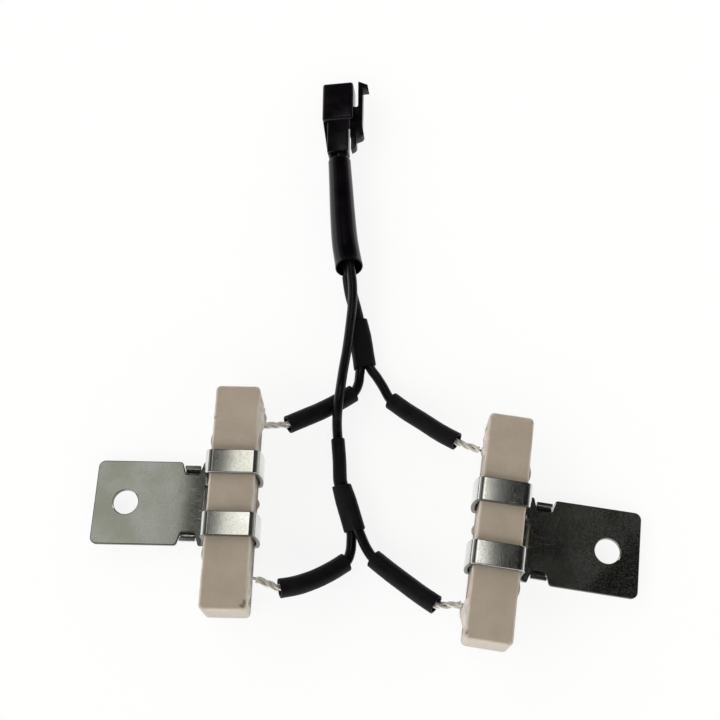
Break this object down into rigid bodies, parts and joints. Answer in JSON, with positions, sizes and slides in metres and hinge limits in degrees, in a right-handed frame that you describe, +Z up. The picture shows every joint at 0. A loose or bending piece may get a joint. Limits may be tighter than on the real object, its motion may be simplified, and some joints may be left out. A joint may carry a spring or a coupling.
{
  "type": "ceramic power resistor pair with harness",
  "caption": "Ceramic block power resistors on folded strap brackets with drilled tabs, wired in parallel by a black sleeved harness to a latched plug.",
  "frame": {"origin": "on the floor, midway between the two ceramic blocks", "axes": "+X from the left block to the right block, +Y along the harness towards the plug, +Z up from the base plates"},
  "size_m": [0.1558, 0.183, 0.0153],
  "materials": {
    "ceramic": "matte",
    "cement": "matte",
    "core": "matte",
    "winding": "satin",
    "tinned": "satin",
    "zinc_steel": "satin",
    "sleeve_black": "matte",
    "wire_black": "satin",
    "gloss_black": "gloss",
    "nylon_black": "satin",
    "terminal": "satin"
  },
  "bodies": {
    "root": {"left_ceramic_case": "ceramic", "left_cement_fill": "cement", "left_core_rod": "core", "left_winding": "winding", "left_top_cap": "tinned", "left_bottom_cap": "tinned", "left_top_lead": "tinned", "left_bottom_lead": "tinned", "left_bracket": "zinc_steel", "right_ceramic_case": "ceramic", "right_cement_fill": "cement", "right_core_rod": "core", "right_winding": "winding", "right_top_cap": "tinned", "right_bottom_cap": "tinned", "right_top_lead": "tinned", "right_bottom_lead": "tinned", "right_bracket": "zinc_steel", "left_top_strands": "tinned", "left_bottom_strands": "tinned", "right_top_strands": "tinned", "right_bottom_strands": "tinned", "left_top_sleeve": "sleeve_black", "left_bottom_sleeve": "sleeve_black", "right_top_sleeve": "sleeve_black", "right_bottom_sleeve": "sleeve_black", "left_top_wire": "wire_black", "left_bottom_wire": "wire_black", "right_top_wire": "wire_black", "right_bottom_wire": "wire_black", "rear_splice_crimp": "tinned", "front_splice_crimp": "tinned", "rear_splice_cover": "sleeve_black", "front_splice_cover": "sleeve_black", "rear_splice_tube": "sleeve_black", "front_splice_tube": "sleeve_black", "rear_feed_wire": "wire_black", "front_feed_wire": "wire_black", "harness_sleeve": "gloss_black", "plug_housing": "nylon_black", "front_terminal": "terminal", "rear_terminal": "terminal"}
  },
  "joints": []
}
